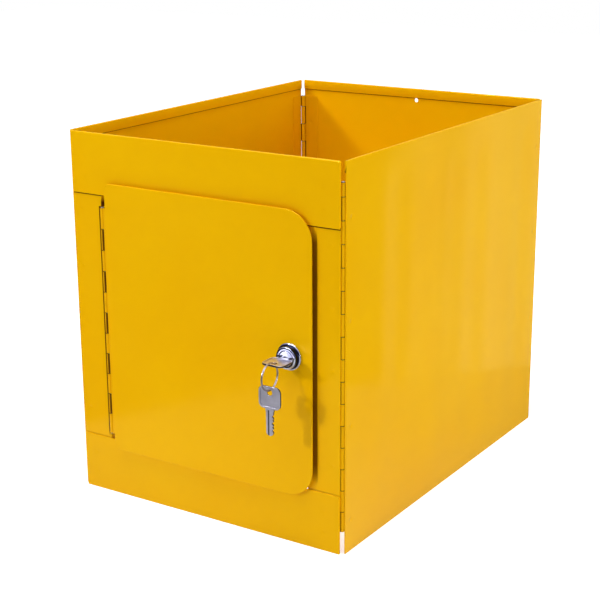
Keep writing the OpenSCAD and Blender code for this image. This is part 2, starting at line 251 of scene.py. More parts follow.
def hemmed(height_of, marks=()):
    """Outline of a sheet with its top edge folded in: depth from the outer face, and height."""
    outer = [(0, z) for z in steps(0, height_of - sheet_t, marks=marks)]
    fold = [(sheet_t - sheet_t * math.cos(math.radians(a)), height_of - sheet_t + sheet_t * math.sin(math.radians(a)))
            for a in range(20, 180, 20)]
    lip = [(2 * sheet_t, height_of - sheet_t), (2 * sheet_t, height_of - hem_h + 0.3 * MM),
           (2 * sheet_t - 0.1 * MM, height_of - hem_h + 0.06 * MM), (2 * sheet_t - 0.3 * MM, height_of - hem_h),
           (sheet_t + hem_mouth, height_of - hem_h), (sheet_t, height_of - hem_h + 2.5 * MM)]
    inner = [(sheet_t, z) for z in reversed(steps(0, height_of - hem_h - 0.2 * MM, marks=marks))]
    return outer + fold + lip + inner


def welds(spots, into):
    """The shallow pits that the electrodes of a spot welder leave: returns how far a point is pressed in."""
    def press(point):
        depth = 0
        for spot in spots:
            reach = min(1, (Vector(spot) - point).length / weld_r)
            depth += weld_depth * (1 - reach * reach) ** 2
        return Vector(into) * depth
    return press


def slack(low, high, along, into, depth, waves, phase):
    """The slow waviness of a large flat sheet, fading out towards its edges, and always inwards."""
    def press(point):
        across = (point[along] - low[along]) / (high[along] - low[along])
        rise = (point.z - low.z) / (high.z - low.z)
        fade = min(1, across / 0.14, (1 - across) / 0.14, rise / 0.2 + 0.1, (1 - rise) / 0.12)
        fade = max(0, fade)
        fade = fade * fade * (3 - 2 * fade)
        wave = 0.5 + 0.35 * math.sin(waves * math.tau * across + phase + 0.5 * rise)
        wave += 0.15 * math.sin(2.3 * waves * math.tau * across + 2 * phase - 0.8 * rise)
        return Vector(into) * depth * fade * wave
    return press


def hem_mouth_shade(depth_of):
    """Painted shade in the mouth of a hem: 1 along its lower lip, on the face inside the box."""
    def joints_shade_and_reflection(point):
        return float(abs(point.z - (wall_h - hem_h)) < 0.3 * MM and 0.6 < depth_of(point) / sheet_t < 1.9)
    return joints_shade_and_reflection


def press_all(shape, *presses):
    for vert in shape.verts:
        start = vert.co.copy()
        for press in presses:
            vert.co += press(start)


def finished(shape, name, body, material, node, soften=0.2 * MM, joints_shade_and_reflection=None):
    """Closes a shape into a piece, softens its cut edges and lets it ride in place of its CAD node."""
    bmesh.ops.remove_doubles(shape, verts=shape.verts, dist=1e-7)
    bmesh.ops.recalc_face_normals(shape, faces=shape.faces)
    # The function given here marks dark joints, painted shade and painted reflections in a vertex attribute.
    if joints_shade_and_reflection:
        joint = shape.verts.layers.float.new("joint")
        for vert in shape.verts:
            vert[joint] = joints_shade_and_reflection(vert.co)
    edge = shape.verts.layers.float.new("edge")
    for line in shape.edges:
        if line.calc_face_angle(0) > math.radians(38):
            for vert in line.verts:
                vert[edge] = 1
    for face in shape.faces:
        face.smooth = True
    mesh = bpy.data.meshes.new(name)
    shape.to_mesh(mesh)
    shape.free()
    mesh.materials.append(material)
    made = bpy.data.objects.new(name, mesh)
    scene.collection.objects.link(made)
    if soften:
        bevel = made.modifiers.new("soft edges", "BEVEL")
        bevel.width, bevel.segments = soften, 2
        bevel.limit_method, bevel.angle_limit = "ANGLE", math.radians(38)
        bevel.harden_normals = True
    else:
        mesh.set_sharp_from_angle(angle=math.radians(48))
        true_flats = made.modifiers.new("true flats", "WEIGHTED_NORMAL")
        true_flats.mode, true_flats.weight, true_flats.keep_sharp = "FACE_AREA", 100, True
    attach(made, body)
    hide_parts(node)
    return made


def effect(name, inputs, outputs):
    """An empty shader group with named sockets, and its two ends."""
    group = bpy.data.node_groups.new(name, "ShaderNodeTree")
    for label, kind, value in inputs:
        group.interface.new_socket(label, in_out="INPUT", socket_type=kind).default_value = value
    for label, kind in outputs:
        group.interface.new_socket(label, in_out="OUTPUT", socket_type=kind)
    return group, put_in(group, "NodeGroupInput").outputs


def cloudy(kit, at, scale, detail):
    """Soft random patches, about 1/scale of a metre across."""
    return put_in(kit, "ShaderNodeTexNoise", {"Vector": at, "Scale": scale, "Detail": detail}).outputs[0]


NUMBER, COLOUR = "NodeSocketFloat", "NodeSocketColor"

# Paint that flowed and set: slow changes of thickness, a fine orange peel, and dust nibs.
paint_film, given = effect(
    "paint film",
    [("Thin", COLOUR, (1, 1, 1, 1)), ("Thick", COLOUR, (1, 1, 1, 1)), ("Cloud Scale", NUMBER, 9),
     ("Peel Scale", NUMBER, 260), ("Gloss", NUMBER, 0.12), ("Gloss Spread", NUMBER, 0.1)],
    [("Colour", COLOUR), ("Roughness", NUMBER), ("Height", NUMBER)])
at = put_in(paint_film, "ShaderNodeTexCoord").outputs["Object"]
thickness = ranged(paint_film, cloudy(paint_film, at, given["Cloud Scale"], 3), 0.3, 0.7)
waves = cloudy(paint_film, at, 28, 1)
peel = worked(paint_film, "MULTIPLY_ADD", cloudy(paint_film, at, given["Peel Scale"], 1.5), 0.35, waves)
nib = put_in(paint_film, "ShaderNodeTexVoronoi", {"Vector": at, "Scale": 55}).outputs["Distance"]
put_in(paint_film, "NodeGroupOutput", {
    "Colour": blended(paint_film, thickness, given["Thin"], given["Thick"]),
    "Roughness": worked(paint_film, "MULTIPLY_ADD", cloudy(paint_film, at, 14, 4), given["Gloss Spread"],
                        given["Gloss"]),
    "Height": worked(paint_film, "MULTIPLY_ADD", ranged(paint_film, nib, 0.0, 0.035, 1.0, 0.0), 0.25, peel)})

# Wear along the cut edges, broken up so that it comes in chips and short rubbed runs.
edge_wear, given = effect("edge wear", [("Chip Scale", NUMBER, 420), ("Amount", NUMBER, 0.5)], [("Mask", NUMBER)])
at = put_in(edge_wear, "ShaderNodeTexCoord").outputs["Object"]
rim = put_in(edge_wear, "ShaderNodeAttribute", attribute_name="edge").outputs["Fac"]
patches = worked(edge_wear, "MULTIPLY", cloudy(edge_wear, at, given["Chip Scale"], 2), cloudy(edge_wear, at, 35, 1))
rubbed = worked(edge_wear, "ADD", worked(edge_wear, "MULTIPLY", patches, rim), given["Amount"])
put_in(edge_wear, "NodeGroupOutput", {"Mask": ranged(edge_wear, rubbed, 0.86, 0.92)})


def use(kit, group, inputs):
    """Places a shader group in a material with its own values."""
    placed = put_in(kit, "ShaderNodeGroup", node_tree=group)
    for label, value in inputs.items():
        placed.inputs[label].default_value = value
    return placed.outputs


def dress(kit, shader, colour, roughness, relief, strength, distance):
    """Feeds a shader its colour, its roughness and its relief."""
    bump = put_in(kit, "ShaderNodeBump", {"Height": relief, "Strength": strength, "Distance": distance})
    for label, source in (("Base Color", colour), ("Roughness", roughness), ("Normal", bump.outputs[0])):
        kit.links.new(source, shader.inputs[label])


def enamel(name, thin, thick, wear, gloss):
    """Stoved yellow enamel over primer on steel, worn along its cut edges, and dark in its joints and where shade is
    painted in.
    """
    # One dark colour serves for the joints and for painted shade: in gaps, under edges and beside the hinges.
    dirt_and_shade, primer = (0.10, 0.022, 0.001, 1), (0.33, 0.30, 0.24, 1)
    material, kit, shader = fresh_material(name)
    film = use(kit, paint_film, {"Thin": thin, "Thick": thick, "Gloss": gloss})
    chips = use(kit, edge_wear, {"Amount": wear})["Mask"]
    joint = put_in(kit, "ShaderNodeAttribute", attribute_name="joint").outputs["Fac"]
    colour = blended(kit, chips, blended(kit, joint, film["Colour"], dirt_and_shade), primer)
    dull = worked(kit, "MULTIPLY_ADD", chips, 0.3, film["Roughness"])
    dress(kit, shader, colour, dull, film["Height"], 0.25, 0.05 * MM)
    shader.inputs["Specular IOR Level"].default_value = 0.45
    shader.inputs["Specular Tint"].default_value = (1.0, 0.72, 0.06, 1)
    return material


yellow_enamel = enamel("yellow_enamel", (0.97, 0.53, 0.001, 1), (0.95, 0.49, 0.0005, 1), 0.35, 0.07)

back_low, back_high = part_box("back_panel")
wall_h = back_high.z - back_low.z
weld_rows = mm(30, 118, 212, 302)
weld_inset = 9 * MM


def drilled(piece, drill):
    """Cuts a hole with a second shape, and throws that shape away."""
    cut = piece.modifiers.new("hole", "BOOLEAN")
    cut.object, cut.solver, cut.operation = drill, "EXACT", "DIFFERENCE"
    done = piece.evaluated_get(bpy.context.evaluated_depsgraph_get())
    mesh = bpy.data.meshes.new_from_object(done)
    piece.modifiers.clear()
    piece.data = mesh
    bpy.data.objects.remove(drill)


def lathe(shape, profile, place, count=64, squash=None):
    """A profile of (radius, height) turned round an axis; place() carries (x, y, height) to its place."""
    rings = []
    for i in range(count):
        angle = math.tau * i / count
        ring = []
        for radius, height in profile:
            x, y = radius * math.cos(angle), radius * math.sin(angle)
            if squash:
                x, y = squash(x, y, height)
            ring.append(shape.verts.new(place(x, y, height)))
        rings.append(ring)
    for i in range(count):
        one, two = rings[i], rings[(i + 1) % count]
        for j in range(len(profile)):
            k = (j + 1) % len(profile)
            shape.faces.new((one[j], two[j], two[k], one[k]))
    return shape


def loose(shape, name):
    """A bare mesh object from a shape, merged and with its faces turned outwards."""
    bmesh.ops.remove_doubles(shape, verts=shape.verts, dist=1e-7)
    bmesh.ops.recalc_face_normals(shape, faces=shape.faces)
    mesh = bpy.data.meshes.new(name)
    shape.to_mesh(mesh)
    shape.free()
    made = bpy.data.objects.new(name, mesh)
    scene.collection.objects.link(made)
    return made


def reopened(piece):
    """The mesh of a loose object as a shape again."""
    shape = bmesh.new()
    shape.from_mesh(piece.data)
    bpy.data.objects.remove(piece)
    return shape


hang_hole_r = 2.25 * MM
hang_hole_z = back_high.z - hem_h - 2.6 * MM
for node, body, name, axis, out, curl, waves, phase, soften in (
        ("back_panel", "back", "back_sheet", 0, 1, 0.7 * MM, 1.5, 0.6, 0.16 * MM),
        ("right_panel", "right_side", "right_sheet", 1, 1, 1.0 * MM, 3.2, 2.2, 0.2 * MM),
        ("left_panel", "left_side", "left_sheet", 1, -1, 1.0 * MM, 3.2, 0.4, 0.2 * MM)):
    low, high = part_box(node)
    outer = (high if out > 0 else low)[1 - axis]
    inwards = Vector((0, -out, 0)) if axis == 0 else Vector((-out, 0, 0))

    def on_panel(station, depth, z):
        """From a panel's own axes to the frame: along it, into the box, up."""
        return Vector((station, outer - out * depth, z) if axis == 0 else (outer - out * depth, station, z))

    ends = low[axis] + weld_inset, high[axis] - weld_inset
    spots = [on_panel(end, 0, z) for end in ends for z in weld_rows]
    shape = sweep(hemmed(wall_h, weld_rows), steps(low[axis], high[axis], marks=ends), on_panel)
    press_all(shape, slack(low, high, axis, inwards, curl, waves, phase), welds(spots, inwards))
    if node == "back_panel":
        drill = lathe(bmesh.new(), [(0, -5 * MM), (hang_hole_r, -5 * MM), (hang_hole_r, 5 * MM), (0, 5 * MM)],
                      lambda x, y, h: Vector((x, outer + h, hang_hole_z + y)), 32)
        panel = loose(shape, "blank")
        drilled(panel, loose(drill, "hole_drill"))
        shape = reopened(panel)
    finished(shape, name, body, yellow_enamel, node, soften,
             hem_mouth_shade(lambda point: out * (outer - point[1 - axis])))

# ---- The front frame: two rails right across, the upper one hemmed like the panels, spot-welded over ----
# two uprights. Each upright has a return flange bent back into the box, and the left one carries the door.
upper_edge, lower_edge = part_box("front_top_rail")[0].z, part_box("front_bottom_rail")[1].z
for node, name, rows, soften in (("front_top_rail", "top_rail", mm(327, 307), 0.2 * MM),
                                 ("front_bottom_rail", "bottom_rail", mm(18, 38), 0.35 * MM)):
    low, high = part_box(node)
    ends = low.x + 14 * MM, high.x - 16 * MM
    outline = hemmed(high.z - low.z, [z - low.z for z in rows])
    if name == "bottom_rail":
        flat = steps(0, high.z - low.z, marks=rows)
        outline = [(0, z) for z in flat] + [(sheet_t, z) for z in reversed(flat)]
    shape = sweep(outline, steps(low.x, high.x, marks=ends),
                  lambda station, depth, z: Vector((station, low.y + depth, low.z + z)))
    press_all(shape, welds([(x, low.y, z) for x in ends for z in rows], (0, 0.6, 0)))
    finished(shape, name, "front", yellow_enamel, node, soften)

bend_r = 1.2 * MM
door_low, door_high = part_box("door_plate")
door_corner_r, hinge_corner_r = mm(27, 8)
slot_low, slot_high = mm(61, 291)
seam_half, seam_fade = mm(0.95, 0.3)
pin_head_h = 0.6 * MM
hinge_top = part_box("door_hinge_pin")[1].z - pin_head_h
for side, node, name in ((1, "front_left_stile", "left_stile"), (-1, "front_right_stile", "right_stile")):
    low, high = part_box(node)
    free_x, bend_x = (low.x, high.x) if side > 0 else (high.x, low.x)
    web = high.x - low.x
    depth = high.y - low.y
    weld_x = 8 * MM
    stile_welds = [(free_x + side * weld_x, low.y, z) for z in mm(169, 223.6, 278, 82)]
    door_u = abs(free_x - door_high.x)
    turn_in = [math.radians(a) for a in (0, 22.5, 45, 67.5, 90)]
    outer_bend = [(web - bend_r + bend_r * math.sin(a), bend_r - bend_r * math.cos(a)) for a in turn_in]
    inner_r = bend_r - sheet_t
    inner_bend = [(web - bend_r + inner_r * math.sin(a), bend_r - inner_r * math.cos(a)) for a in turn_in]
    along = steps(0, web - bend_r, marks=[weld_x])
    # Edges of the bands of painted shade beside the door's hinge and under the door's lock side.
    shade_from, shade_to = mm(3.9, 3.5) if side > 0 else (web - door_u + 2.2 * MM, web - door_u + 1.7 * MM)
    along = sorted(along + [web - shade_from, web - shade_to])
    section = [(u, 0) for u in along[:-1]] + outer_bend + [(web, depth), (web - sheet_t, depth)]
    section += inner_bend[::-1] + [(u, sheet_t) for u in along[-2::-1]]
    rungs = steps(low.z, high.z, marks=[weld[2] for weld in stile_welds])
    seams = (upper_edge, 1), (lower_edge, 0.25)
    for seam, _ in seams:
        rungs += [seam + reach * MM for reach in (-1.5, -0.9, 0.9, 1.5)]
    rungs += [hinge_top + 0.1 * MM, hinge_top + 0.6 * MM]
    shape = sweep(section, sorted(rungs), lambda station, u, v: Vector((free_x + side * u, low.y + v, station)))
    press_all(shape, welds(stile_welds, (0, 0.7, 0)))

    def joints_shade_and_reflection(point):
        """Dark lines at the joints under the rails' edges, partly painted shade; painted shade beside the door's
        hinge; and a painted shadow on the right upright under the door's lock side.
        """
        from_bend = abs(point.x - bend_x)
        if point.y > low.y + 0.3 * MM and from_bend > 1.2 * MM:
            return 0
        past = [max(0, abs(point.z - seam) - seam_half) for seam, _ in seams]
        dark = max(share * max(0, 1 - away / seam_fade) for away, (_, share) in zip(past, seams))
        # Beside the door's hinge a band of painted shade 3.6 mm wide; above the hinge only the fold line is dark.
        groove = 3.6 * MM if point.z < hinge_top + 0.3 * MM else 0.75 * MM
        if side > 0 and from_bend < groove and slot_low < point.z < slot_high:
            dark = 1
        # A painted shadow of the door's lock-side edge: it fades at the door's round corners and stays on the upright
        # when the door opens.
        if side < 0 and from_bend < shade_from - 0.1 * MM and point.y < low.y + 0.3 * MM:
            past_arc = max(0, door_low.z + door_corner_r - point.z, point.z - door_high.z + door_corner_r)
            dark = max(dark, 0.8 * (1 - past_arc / (12 * MM)))
        return dark

    finished(shape, name, "front", yellow_enamel, node, joints_shade_and_reflection=joints_shade_and_reflection)

# ---- The hinges: each leaf is a steel strip with tabs curled round a pin, the tabs of its partner between. ----
# They are welded on before painting, so enamel covers leaf and knuckles, and it is rubbed where they turn.
hinge_enamel = enamel("hinge_enamel", (0.96, 0.52, 0.001, 1), (0.93, 0.46, 0.001, 1), 0.42, 0.12)
pin_r = 1.2 * MM
barrel_r = 2.2 * MM
leaf_t = 0.9 * MM
knuckle_gap = 0.3 * MM
pitch = 20 * MM

# Bare or plated metal: a stained colour, a roughness that drifts with it, and a fine grain.
metal_skin, given = effect(
    "metal skin",
    [("Colour", COLOUR, (1, 1, 1, 1)), ("Dark", COLOUR, (1, 1, 1, 1)), ("Gloss", NUMBER, 0.2),
     ("Gloss Spread", NUMBER, 0.1), ("Grain Scale", NUMBER, 900), ("Stretch", NUMBER, 1)],
    [("Colour", COLOUR), ("Roughness", NUMBER), ("Height", NUMBER)])
at = put_in(metal_skin, "ShaderNodeTexCoord").outputs["Object"]
stretch = put_in(metal_skin, "ShaderNodeCombineXYZ", {0: 1.0, 1: 1.0, 2: given["Stretch"]}).outputs[0]
pulled = put_in(metal_skin, "ShaderNodeVectorMath", {0: at, 1: stretch}, operation="MULTIPLY").outputs[0]
stain = cloudy(metal_skin, at, 120, 4)
put_in(metal_skin, "NodeGroupOutput", {
    "Colour": blended(metal_skin, ranged(metal_skin, stain, 0.4, 0.75), given["Colour"], given["Dark"]),
    "Roughness": worked(metal_skin, "MULTIPLY_ADD", stain, given["Gloss Spread"], given["Gloss"]),
    "Height": cloudy(metal_skin, pulled, given["Grain Scale"], 3)})


def metal(name, colour, dark, roughness, spread, grain, stretch, bump_depth):
    """A metal of its own colour and grain, painted almost black where the joint attribute marks it: painted shade in
    recesses, and a painted reflection of a dark room on the lock's collar.
    """
    dark_shade_and_reflection = (0.012, 0.015, 0.045, 1)
    material, kit, shader = fresh_material(name)
    surface = use(kit, metal_skin, {"Colour": colour, "Dark": dark, "Gloss": roughness, "Gloss Spread": spread,
                                    "Grain Scale": grain, "Stretch": stretch})
    joint = put_in(kit, "ShaderNodeAttribute", attribute_name="joint").outputs["Fac"]
    dress(kit, shader, blended(kit, joint, surface["Colour"], dark_shade_and_reflection), surface["Roughness"], surface["Height"],
          0.3, bump_depth)
    shader.inputs["Metallic"].default_value = 1
    return material


pin_steel = metal("pin_steel", (0.55, 0.54, 0.52, 1), (0.35, 0.33, 0.30, 1), 0.25, 0.25, 700, 0.2, 0.03 * MM)

# One tree makes every evenly spaced row: the knuckles of a leaf, and the wafers in the lock.
row_tree = bpy.data.node_groups.new("row of like pieces", "GeometryNodeTree")
for label, kind in (("Piece", "NodeSocketGeometry"), ("Count", "NodeSocketInt"), ("Start", "NodeSocketVector"),
                    ("Pitch", "NodeSocketVector"), ("Length", "NodeSocketFloat"), ("Odd One", "NodeSocketInt"),
                    ("Odd Length", "NodeSocketFloat"), ("Odd Shift", "NodeSocketVector"),
                    ("Material", "NodeSocketMaterial")):
    row_tree.interface.new_socket(label, in_out="INPUT", socket_type=kind)
row_tree.interface.new_socket("Row", in_out="OUTPUT", socket_type="NodeSocketGeometry")
given = put_in(row_tree, "NodeGroupInput").outputs
line = put_in(row_tree, "GeometryNodeMeshLine", {"Count": given["Count"], "Start Location": given["Start"],
                                                 "Offset": given["Pitch"]}, mode="OFFSET")
number = put_in(row_tree, "GeometryNodeInputIndex").outputs[0]
is_odd = put_in(row_tree, "FunctionNodeCompare", {"A": number, "B": given["Odd One"]},
                data_type="INT", operation="EQUAL")
shifted = put_in(row_tree, "GeometryNodeSetPosition", {"Geometry": line.outputs[0], "Selection": is_odd.outputs[0],
                                                       "Offset": given["Odd Shift"]})
reach = put_in(row_tree, "GeometryNodeSwitch", {"Switch": is_odd.outputs[0], "False": given["Length"],
                                                "True": given["Odd Length"]}, input_type="FLOAT")
long = put_in(row_tree, "ShaderNodeCombineXYZ", {0: 1.0, 1: 1.0, 2: reach.outputs[0]})
placed = put_in(row_tree, "GeometryNodeInstanceOnPoints", {"Points": shifted.outputs[0], "Instance": given["Piece"],
                                                           "Scale": long.outputs[0]})
real = put_in(row_tree, "GeometryNodeRealizeInstances", {"Geometry": placed.outputs[0]})
painted = put_in(row_tree, "GeometryNodeSetMaterial", {"Geometry": real.outputs[0], "Material": given["Material"]})
put_in(row_tree, "NodeGroupOutput", {"Row": painted.outputs[0]})


def row_of(shape, count, start, pitch, length, material, odd=-1, odd_length=1.0, odd_shift=(0, 0, 0)):
    """Repeats a shape along a line and gives back one plain mesh."""
    source = loose(shape, "row_source")
    row = source.modifiers.new("row", "NODES")
    row.node_group = row_tree
    values = {"Count": count, "Start": Vector(start), "Pitch": Vector(pitch), "Length": length, "Odd One": odd,
              "Odd Length": odd_length, "Odd Shift": Vector(odd_shift), "Material": material}
    for socket in row_tree.interface.items_tree:
        if socket.in_out == "INPUT" and socket.name in values:
            row[socket.identifier] = values[socket.name]
    mesh = bpy.data.meshes.new_from_object(source.evaluated_get(bpy.context.evaluated_depsgraph_get()))
    source.modifiers.clear()
    bpy.data.objects.remove(source)
    return mesh


def box_shape(shape, low, high, place):
    """Adds a closed block between two corners."""
    corners = [shape.verts.new(place(Vector((x, y, z)))) for x in (low[0], high[0]) for y in (low[1], high[1])
               for z in (low[2], high[2])]
    for face in ((0, 1, 3, 2), (4, 6, 7, 5), (0, 4, 5, 1), (2, 3, 7, 6), (0, 2, 6, 4), (1, 5, 7, 3)):
        shape.faces.new([corners[i] for i in face])


def curled_tab(face, plate_x):
    """One knuckle, 1 m long for scaling: a tab that leaves the leaf and curls round the pin."""
    middle_r = barrel_r - leaf_t / 2
    flat = -face + leaf_t / 2
    path = [(plate_x + 0.5 * MM, flat), (plate_x - 0.6 * MM, flat), (0.9 * MM, flat - 0.15 * (flat + middle_r))]
    path += [(middle_r * math.cos(math.radians(a)), middle_r * math.sin(math.radians(a)))
             for a in range(-90, -400, -15)]
    half = leaf_t / 2 - 0.01 * MM
    sides = []
    for i, here in enumerate(path):
        before, after = Vector(path[max(0, i - 1)]), Vector(path[min(len(path) - 1, i + 1)])
        across = (after - before).normalized().orthogonal() * half
        sides.append((Vector(here) + across, Vector(here) - across))
    shape = bmesh.new()
    # The knuckle's ends, and the run where the tab leaves the leaf, are marked dark: painted shade in the gaps
    # between knuckles and beside the barrel.
    joint = shape.verts.layers.float.new("joint")
    shaded_end = 0.02
    levels = [[(shape.verts.new((*a, z)), shape.verts.new((*b, z))) for a, b in sides]
              for z in (0, shaded_end, 1 - shaded_end, 1)]
    for i in range(len(sides) - 1):
        for end in (levels[0], levels[-1]):
            shape.faces.new((end[i][0], end[i + 1][0], end[i + 1][1], end[i][1]))
        for lower, upper in zip(levels, levels[1:]):
            for j in (0, 1):
                shape.faces.new((lower[i][j], lower[i + 1][j], upper[i + 1][j], upper[i][j]))
    for i in (0, len(sides) - 1):
        for lower, upper in zip(levels, levels[1:]):
            shape.faces.new((lower[i][0], lower[i][1], upper[i][1], upper[i][0]))
    for i in range(len(sides)):
        for z, here in enumerate(levels):
            for vert in here[i]:
                vert[joint] = 1.0 if z in (0, 3) or i < 3 else 0.5 if i == 3 else 0.0
    return shape


def leaf(name, body, node, pivot, angle, flip, cuts, first, width, face, weld_z=()):
    """A hinge leaf: a plate beside the pin, and its own share of the knuckles, numbered from the top."""
    plate_x = barrel_r + 0.3 * MM
    mine = list(range(first, len(cuts) - 1, 2))
    usual = [i for i in mine if abs(cuts[i] - cuts[i + 1] - pitch) < 1e-6]
    odd = [i for i in mine if i not in usual]
    usual_length = pitch - knuckle_gap
    odd_at = mine.index(odd[0]) if odd else -1
    odd_length = cuts[odd[0]] - cuts[odd[0] + 1] - knuckle_gap if odd else 1.0
    first_low = cuts[usual[0] + 1] + knuckle_gap / 2 + (2 * pitch if odd_at == 0 else 0)
    odd_shift = 0.0
    if odd:
        odd_shift = cuts[odd[0] + 1] + knuckle_gap / 2 - (first_low - 2 * pitch * odd_at)
    row = row_of(curled_tab(face, plate_x), len(mine), (0, 0, first_low), (0, 0, -2 * pitch), usual_length,
                 hinge_enamel, odd_at, odd_length, (0, 0, odd_shift))
    shape = bmesh.new()
    shape.from_mesh(row)
    sign, coarse, weld_u = -1 if flip else 1, 30 * MM, width - 9 * MM
    heights = steps(cuts[-1], cuts[0], coarse, weld_z)
    widths = steps(plate_x, width, coarse, [weld_u] if weld_z else [])
    section = [(u, -face) for u in widths] + [(u, -face + leaf_t) for u in reversed(widths)]
    strip = sweep(section, heights, lambda station, u, v: Vector((u, v, station)))
    if weld_z:
        press_all(strip, welds([(weld_u, leaf_t - face, z) for z in weld_z], (0, -0.8, 0)))
    strip_mesh = bpy.data.meshes.new("strip")
    strip.to_mesh(strip_mesh)
    strip.free()
    shape.from_mesh(strip_mesh)
    for vert in shape.verts:
        vert.co.y *= sign
    shape.transform(Matrix.Translation(pivot) @ Matrix.Rotation(math.radians(angle), 4, "Z"))
    finished(shape, name, body, hinge_enamel, node, soften=0.12 * MM)


def pin(name, body, node):
    """A steel pin with both ends peened into low domes."""
    low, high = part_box(node)
    middle = (low + high) / 2
    head, neck = 1.6 * MM, pin_head_h
    bottom = [(0, low.z), (0.7 * head, low.z + 0.06 * MM), (0.94 * head, low.z + 0.2 * MM), (head, low.z + 0.4 * MM),
              (head, low.z + neck)]
    top = [(radius, low.z + high.z - height) for radius, height in reversed(bottom)]
    profile = bottom + [(pin_r, low.z + neck), (pin_r, high.z - neck)] + top
    shape = lathe(bmesh.new(), profile, lambda x, y, h: Vector((middle.x + x, middle.y + y, h)), 20)
    finished(shape, name, body, pin_steel, node, soften=0)


def pivot_of(pin_node):
    """Where a hinge's axis meets the floor."""
    low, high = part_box(pin_node)
    return Vector(((low.x + high.x) / 2, (low.y + high.y) / 2, 0))


corner_face = barrel_r + 0.3 * MM
pin_low, pin_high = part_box("front_right_hinge_pin")
hinge_low, hinge_high = pin_low.z + pin_head_h, pin_high.z - pin_head_h
corner_cuts = [hinge_high] + [hinge_high - 12 * MM - i * pitch for i in range(15)] + [hinge_low]
corner_width = 18 * MM
for corner, side_body, side_turn, side_flip, front_turn, front_flip in (
        ("front_right", "right_side", 90, 0, 180, 1), ("front_left", "left_side", 90, 1, 0, 0),
        ("back_right", "right_side", -90, 1, 180, 0), ("back_left", "left_side", -90, 0, 0, 1)):
    far = corner.split("_")[0]
    pivot = pivot_of(corner + "_hinge_pin")
    leaf(corner + "_side_leaf", side_body, corner + "_hinge_side_leaf", pivot, side_turn, side_flip, corner_cuts, 0,
         corner_width, corner_face, weld_rows)
    leaf(corner + "_" + far + "_leaf", far, f"{corner}_hinge_{far}_leaf", pivot, front_turn, front_flip,
         corner_cuts, 1, corner_width, corner_face, weld_rows)
    pin(corner + "_pin", side_body, corner + "_hinge_pin")

# ---- The door: a flat plate with large round corners on the lock side, its edges filed round before ----
# painting. Its own narrow hinge is welded to its back and to the flange of the left upright.
pivot = pivot_of("door_hinge_pin")
door_hinge_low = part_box("door_hinge_pin")[0].z + pin_head_h
door_cuts = [door_hinge_low + (11 - i) * pitch for i in range(12)]
leaf("door_hinge_fixed_leaf", "front", "door_hinge_frame_leaf", pivot, 90, 1, door_cuts, 0, 13 * MM, barrel_r)
leaf("door_hinge_moving_leaf", "door", "door_hinge_door_leaf", pivot, 0, 0, door_cuts, 1, 18 * MM, barrel_r)
pin("door_pin", "front", "door_hinge_pin")


def rounded(low, high, radii, count=12):
    """Outline of a rectangle with its own radius at each corner: low left, low right, high right, high left."""
    outline = []
    corners = ((low[0], low[1], 180), (high[0], low[1], 270), (high[0], high[1], 0), (low[0], high[1], 90))
    for (x, y, start), radius in zip(corners, radii):
        middle_x = x + radius if x == low[0] else x - radius
        middle_y = y + radius if y == low[1] else y - radius
        for i in range(count + 1):
            angle = math.radians(start + 90 * i / count)
            outline.append((middle_x + radius * math.cos(angle), middle_y + radius * math.sin(angle)))
    return outline


def circle(radius, count=48, flats=None):
    """A round outline, cut off to two flats if they are given."""
    points = []
    for i in range(count):
        x, y = (radius * f(math.tau * i / count) for f in (math.cos, math.sin))
        points.append((x, max(-flats / 2, min(flats / 2, y)) if flats else y))
    return points


def plate(outlines, thickness, edge, place):
    """A flat plate with holes and rounded edges; place() carries (x, y, through) to its place."""
    curve = bpy.data.curves.new("outline", "CURVE")
    curve.dimensions, curve.fill_mode = "2D", "BOTH"
    curve.extrude, curve.bevel_depth, curve.bevel_resolution = thickness / 2 - edge, edge, 2
    curve.offset = -edge
    for outline in outlines:
        line = curve.splines.new("POLY")
        line.points.add(len(outline) - 1)
        for point, (x, y) in zip(line.points, outline):
            point.co = (x, y, 0, 1)
        line.use_cyclic_u = True
    blank = bpy.data.objects.new("outline", curve)
    scene.collection.objects.link(blank)
    mesh = bpy.data.meshes.new_from_object(blank.evaluated_get(bpy.context.evaluated_depsgraph_get()))
    bpy.data.objects.remove(blank)
    shape = bmesh.new()
    shape.from_mesh(mesh)
    bmesh.ops.remove_doubles(shape, verts=shape.verts, dist=1e-6)
    for vert in shape.verts:
        vert.co = place(vert.co)
    return shape


low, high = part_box("door_plate")
head_low, head_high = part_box("lock_housing")
lock = Vector(((head_low.x + head_high.x) / 2, low.y, (head_low.z + head_high.z) / 2))
door_t = high.y - low.y
outline = rounded((low.x, low.z), (high.x, high.z), (hinge_corner_r, door_corner_r, door_corner_r, hinge_corner_r))
hole = [(lock.x + x, lock.z + z) for x, z in circle(9.6 * MM, flats=16.6 * MM)]
shape = plate([outline, hole], door_t, 0.45 * MM, lambda p: Vector((p.x, (low.y + high.y) / 2 + p.z, p.y)))
finished(shape, "door", "door", yellow_enamel, "door_plate", soften=0)

# ---- The cam lock: a zinc die casting with a chromed head, held in the door by a hexagon nut. ----
# The barrel behind the door is threaded and has two flats, so that it can't turn in its hole.
# The chrome is tinted blue, a painted reflection of the bluish room round it.
lock_chrome = metal("lock_chrome", (0.74, 0.76, 0.86, 1), (0.46, 0.50, 0.70, 1), 0.05, 0.1, 500, 1, 0.02 * MM)
zinc_plate = metal("zinc_plate", (0.62, 0.62, 0.60, 1), (0.45, 0.44, 0.40, 1), 0.28, 0.2, 600, 1, 0.03 * MM)


def on_lock(x, y, out):
    """From the lock's own axes to the frame: x across, y up, out of the door."""
    return Vector((lock.x + x, lock.y - out, lock.z + y))


